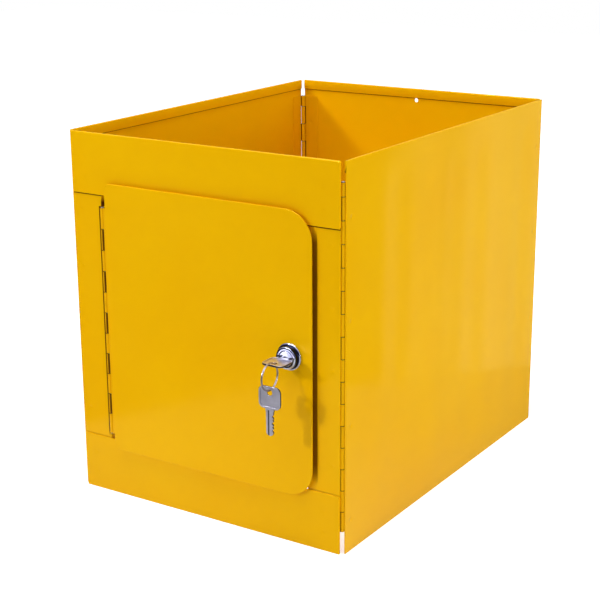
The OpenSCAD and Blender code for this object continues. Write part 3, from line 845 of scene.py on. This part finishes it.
bore_r = 7.06 * MM
body_end = -(head_high.y - lock.y)
thread_root, thread_crest = mm(8.95, 9.45)
profile = [(bore_r, body_end), (8.9 * MM, body_end)]
thread_at = body_end + 0.6 * MM
while thread_at < -2.2 * MM:
    profile += [(thread_crest, thread_at + 0.25 * MM), (thread_root, thread_at + 0.75 * MM)]
    thread_at += 1 * MM
head_curve = ((9.2, -1.4), (9.4, -1.2), (9.4, 0), (11.9, 0), (12.25, 0.3), (12.25, 1.2), (12.05, 1.75), (11.5, 2.1),
              (10.9, 2.2), (10.45, 2.45), (10.2, 3.1), (10.2, 5.6), (10.1, 6.2), (9.75, 6.7), (9.2, 6.95),
              (8.4, 7), (7.4, 6.9))
profile += [mm(*pair) for pair in head_curve] + [(bore_r, 6.6 * MM)]


def collar_reflection(point):
    """The neck between the rim and the raised face is painted dark: a painted reflection of a dark room."""
    radius, out = math.hypot(point.x - lock.x, point.z - lock.z), lock.y - point.y
    return float(10.05 * MM < radius < 11.0 * MM and 2.15 * MM < out < 6.3 * MM)


def flatted(x, y, height):
    return (x, max(-8.2 * MM, min(8.2 * MM, y))) if height < -0.5 * MM else (x, y)


shape = lathe(bmesh.new(), profile, on_lock, 96, flatted)
finished(shape, "lock_body", "door", lock_chrome, "lock_housing", soften=0, joints_shade_and_reflection=collar_reflection)

nut_low, nut_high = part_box("lock_nut")
nut_back, nut_front = lock.y - nut_high.y, lock.y - nut_low.y
half_flats = 11 * MM
shape = bmesh.new()
levels = [(9.56 * MM, nut_back), (11.0 * MM, nut_back), (13 * MM, nut_back + 0.8 * MM),
          (13 * MM, nut_front - 0.8 * MM), (11.0 * MM, nut_front), (9.56 * MM, nut_front)]


def hexagon(x, y, height):
    radius, angle = math.hypot(x, y), math.degrees(math.atan2(y, x)) % 60
    reach = half_flats / math.cos(math.radians(angle - 30))
    share = min(1, reach / radius)
    return x * share, y * share


lathe(shape, levels, on_lock, 96, hexagon)
finished(shape, "lock_ring_nut", "door", zinc_plate, "lock_nut", soften=0)

# ---- The plug and what turns with it: the plug with its keyway, five brass wafers, the cam, its washer ----
# and an M4 screw. The cam stands up at rest, and a quarter turn puts it behind the right upright.
plug_low, plug_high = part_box("lock_plug")
cam_low, cam_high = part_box("lock_cam")
washer_low, washer_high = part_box("cam_washer")
screw_low, screw_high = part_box("cam_screw")
face = lock.y - plug_low.y
rear = lock.y - cam_low.y
tail_end = lock.y - plug_high.y
plug_r = 7 * MM
profile = [(0, rear), (plug_r - 0.3 * MM, rear), (plug_r, rear + 0.3 * MM), (plug_r, face - 0.5 * MM),
           (plug_r - 0.15 * MM, face - 0.15 * MM), (plug_r - 0.5 * MM, face), (5.4 * MM, face),
           (5.1 * MM, face - 0.25 * MM), (0, face - 0.25 * MM)]
plug = loose(lathe(bmesh.new(), profile, on_lock, 72), "plug_blank")
blade_w, key_t = mm(7.4, 1.8)
keyway_w, keyway_h, ward_w, ward_h = mm(7.7, 2.0, 4.4, 1.3)
keyway_end = -15.6 * MM
cutter = bmesh.new()
side = keyway_w / 2
way = [(-side, -keyway_h / 2), (side, -keyway_h / 2), (side, keyway_h / 2), (ward_w / 2, keyway_h / 2),
       (ward_w / 2, keyway_h / 2 + ward_h * 0.6), (ward_w / 6, keyway_h / 2 + ward_h * 0.35),
       (0, keyway_h / 2 + ward_h), (-ward_w / 6, keyway_h / 2 + ward_h * 0.4),
       (-ward_w / 2, keyway_h / 2 + ward_h * 0.8), (-ward_w / 2, keyway_h / 2), (-side, keyway_h / 2)]
near, far = ([cutter.verts.new(on_lock(x, y, out)) for x, y in way] for out in (face + 1 * MM, keyway_end))
cutter.faces.new(near)
cutter.faces.new(far[::-1])
for i in range(len(way)):
    cutter.faces.new((near[i - 1], far[i - 1], far[i], near[i]))
drilled(plug, loose(cutter, "keyway_cutter"))
shape = reopened(plug)
half_tail = 4 * MM
box_shape(shape, (-half_tail, -half_tail, tail_end), (half_tail, half_tail, rear + 0.1 * MM),
          lambda p: on_lock(p.x, p.y, p.z))
# The keyway's walls are painted almost black: painted shade inside the keyway.
dark = shape.loops.layers.float.new("joint")
keyway_reach = 5 * MM
for wall in shape.faces:
    reach = max(math.hypot(vert.co.x - lock.x, vert.co.z - lock.z) for vert in wall.verts)
    if reach < keyway_reach and abs(wall.normal.y) < 0.5 and wall.calc_center_median().y < lock.y - keyway_end:
        for loop in wall.loops:
            loop[dark] = 1
finished(shape, "plug", "lock_core", lock_chrome, "lock_plug", soften=0)

wafers_out = lock.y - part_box("lock_wafers")[0].y
wafer_brass = metal("wafer_brass", (0.70, 0.50, 0.22, 1), (0.48, 0.33, 0.14, 1), 0.3, 0.15, 800, 1, 0.02 * MM)
wafer_w, wafer_h, wafer_t, wafer_pitch = mm(12, 5.6, 1, 3.2)
window = (keyway_w + 0.2 * MM) / 2, (keyway_h + 0.2 * MM) / 2
one_wafer = plate([rounded((-wafer_w / 2, -wafer_h / 2), (wafer_w / 2, wafer_h / 2), [0.6 * MM] * 4, 4),
                   rounded((-window[0], -window[1]), window, [0.2 * MM] * 4, 3)], wafer_t, 0.08 * MM, lambda p: p)
wafers = row_of(one_wafer, 5, (0, 0, wafers_out - wafer_t / 2), (0, 0, -wafer_pitch), 1, wafer_brass)
shape = bmesh.new()
shape.from_mesh(wafers)
for vert in shape.verts:
    vert.co = on_lock(*vert.co)
finished(shape, "wafers", "lock_core", wafer_brass, "lock_wafers", soften=0)

cam_top = cam_high.z - lock.z
cam_half = (cam_high.x - cam_low.x) / 2
outline = [(x, y) for x, y in circle(cam_half, 64) if y < 1e-6]
outline = sorted(outline, key=lambda p: p[0]) + [(cam_half, 1 * MM)]
outline += rounded((-cam_half, 2 * MM), (cam_half, cam_top), [0, 0, 2 * MM, 2 * MM], 6)[14:]
outline += [(-cam_half, 1 * MM)]
tail_hole = rounded(mm(-4.05, -4.05), mm(4.05, 4.05), [0.3 * MM] * 4, 3)
middle_out = lock.y - (cam_low.y + cam_high.y) / 2
shape = plate([outline, tail_hole], cam_high.y - cam_low.y, 0.25 * MM,
              lambda p: on_lock(p.x, p.y, middle_out + p.z))
finished(shape, "cam", "lock_core", zinc_plate, "lock_cam", soften=0)

washer_back, washer_front = lock.y - washer_high.y, lock.y - washer_low.y
shape = bmesh.new()
lathe(shape, [(2.25 * MM, washer_back + 0.15 * MM), (2.4 * MM, washer_back), (6.25 * MM, washer_back),
              (6.5 * MM, washer_back + 0.2 * MM), (6.5 * MM, washer_front - 0.2 * MM), (6.3 * MM, washer_front),
              (2.4 * MM, washer_front), (2.25 * MM, washer_front - 0.15 * MM)], on_lock, 48)
finished(shape, "washer", "lock_core", zinc_plate, "cam_washer", soften=0)

screw_end, screw_head = lock.y - screw_low.y, lock.y - screw_high.y
head_face = screw_head + 2.4 * MM
profile = [(0, screw_head + 0.02 * MM), (2.2 * MM, screw_head + 0.05 * MM), (3.4 * MM, screw_head + 0.35 * MM),
           (4.1 * MM, screw_head + 0.9 * MM), (4.4 * MM, screw_head + 1.7 * MM), (4.3 * MM, head_face),
           (1.95 * MM, head_face)]
thread_at = head_face + 0.4 * MM
while thread_at < screw_end - 0.9 * MM:
    profile += [(1.65 * MM, thread_at), (1.98 * MM, thread_at + 0.35 * MM)]
    thread_at += 0.7 * MM
profile += [(1.5 * MM, screw_end), (0, screw_end)]
screw = loose(lathe(bmesh.new(), profile, on_lock, 40), "screw_blank")
for turn_by in (0, 90):
    cutter = bmesh.new()
    wide = Matrix.Rotation(math.radians(turn_by), 3, "Z")
    box_shape(cutter, (-2.6 * MM, -0.8 * MM, screw_head - 1 * MM), (2.6 * MM, 0.8 * MM, screw_head + 1.2 * MM),
              lambda p: on_lock(*(wide @ p)))
    drilled(screw, loose(cutter, "cross_cutter"))
shape = reopened(screw)
finished(shape, "screw", "lock_core", zinc_plate, "cam_screw", soften=0)

# ---- The two keys: stamped nickel-plated blanks with a raised border on the bow, a milled groove along ----
# the blade and five cuts. One is in the lock, the other hangs from the ring.
key_nickel = metal("key_nickel", (0.74, 0.72, 0.84, 1), (0.58, 0.56, 0.67, 1), 0.28, 0.12, 500, 1, 0.03 * MM)
bow_w, bow_l, blade_l, eye_r, eye_inset = mm(22, 20, 24.4, 2.75, 5.35)
shoulder_w, shoulder_l, tip_l = mm(8.6, 2, 1.85)
border_w, border_h, bow_r, groove_deep = mm(1.7, 0.4, 5, 0.45)
first_cut, cut_depths = 6.5 * MM, (1.2, 0.7, 1.6, 0.9, 1.3)


def key_shape(place):
    """A key in its own plane, the eye at the origin and the blade running along +Y, the cuts towards +X."""
    bow_end = bow_l - eye_inset
    half_blade, half_shoulder = blade_w / 2, shoulder_w / 2
    bow = rounded((-bow_w / 2, -eye_inset), (bow_w / 2, bow_end), [bow_r] * 4, 8)
    neck = bow_end - border_w * 0.85
    right_side = [(half_shoulder, neck), (half_shoulder, bow_end + shoulder_l), (half_blade, bow_end + shoulder_l)]
    for i, depth in enumerate(cut_depths):
        y, reach = bow_end + first_cut + i * wafer_pitch, depth * MM
        right_side += [(half_blade, y - reach - 0.2 * MM), (half_blade - reach, y - 0.25 * MM),
                       (half_blade - reach, y + 0.25 * MM), (half_blade, y + reach + 0.2 * MM)]
    tip = bow_end + blade_l
    tip_round = [(half_blade * math.cos(math.radians(a)), tip - half_blade + half_blade * math.sin(math.radians(a)))
                 for a in range(20, 161, 20)]
    low_y = tip - tip_l
    right_side = [point for point in right_side if point[1] < low_y]
    left_side = [(-half_blade, bow_end + shoulder_l), (-half_shoulder, bow_end + shoulder_l), (-half_shoulder, neck)]
    blade = loose(plate([right_side + tip_round + left_side], key_t - 0.04 * MM, 0.14 * MM, place), "blade_blank")
    for facing in (1, -1):
        groove = bmesh.new()
        box_shape(groove, (-1.7 * MM, bow_end + 1.2 * MM, facing * (key_t / 2 - groove_deep)),
                  (-0.3 * MM, tip + 1 * MM, facing * key_t), place)
        drilled(blade, loose(groove, "groove_cutter"))
    inner = rounded((-bow_w / 2 + border_w, -eye_inset + border_w), (bow_w / 2 - border_w, bow_end - border_w),
                    [bow_r - border_w] * 4, 8)
    shape = plate([bow, circle(eye_r, 32)], key_t - 2 * border_h, 0.16 * MM, place)
    border = loose(plate([bow, inner], key_t, 0.3 * MM, place), "border")
    for part in (blade, border):
        shape.from_mesh(part.data)
        bpy.data.objects.remove(part)
    return shape


def shadowed(across):
    """The walls of a key and of its groove are painted dark as painted shade; across() is how far a point is from the
    key's middle plane.
    """
    def joints_shade_and_reflection(point):
        height = abs(across(point))
        on_field = abs(height - (key_t / 2 - border_h)) < 0.03 * MM
        return 0.0 if height > 0.42 * key_t or on_field else 0.85
    return joints_shade_and_reflection


low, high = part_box("key")
eye = Vector(((low.x + high.x) / 2, low.y + eye_inset, (low.z + high.z) / 2))
shape = key_shape(lambda p: eye + Vector((p.x, p.y, p.z)))
finished(shape, "lock_key", "key_in_lock", key_nickel, "key", soften=0,
         joints_shade_and_reflection=shadowed(lambda point: point.z - eye.z))

low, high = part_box("spare_key")
spare_eye = Vector(((low.x + high.x) / 2, (low.y + high.y) / 2, high.z - eye_inset))
shape = key_shape(lambda p: spare_eye + Vector((p.x, p.z, -p.y)))
finished(shape, "second_key", "spare", key_nickel, "spare_key", soften=0,
         joints_shade_and_reflection=shadowed(lambda point: point.y - spare_eye.y))

# ---- The split ring: spring-steel wire wound to two turns that lie against each other. ----
# The ends are cut square, and the step where the wire changes sides is near the top.
ring_steel = metal("ring_steel", (0.50, 0.46, 0.52, 1), (0.26, 0.22, 0.22, 1), 0.3, 0.15, 400, 1, 0.02 * MM)
low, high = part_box("key_ring")
middle = (low + high) / 2
ring_r = (high.z - low.z) / 2 - 0.8 * MM
wire_half, wire_deep, apart = mm(0.375, 0.65, 0.39)
count, around = 120, 10
shape = bmesh.new()
loops = []
for i in range(count + 1):
    turned = 2 * math.tau * i / count
    step = max(-1, min(1, (turned - math.tau) / 0.5))
    side = apart * math.sin(step * math.pi / 2)
    start = math.radians(60)
    out = Vector((0, math.cos(start + turned), math.sin(start + turned)))
    centre = middle + out * ring_r + Vector((side, 0, 0))
    loop = []
    for j in range(around):
        angle = math.tau * j / around
        spot = centre + out * wire_deep * math.sin(angle) + Vector((wire_half * math.cos(angle), 0, 0))
        loop.append(shape.verts.new(spot))
    loops.append(loop)
for one, two in zip(loops, loops[1:]):
    for j in range(around):
        shape.faces.new((one[j - 1], one[j], two[j], two[j - 1]))
shape.faces.new(loops[0])
shape.faces.new(loops[-1][::-1])
finished(shape, "split_ring", "ring", ring_steel, "key_ring", soften=0)
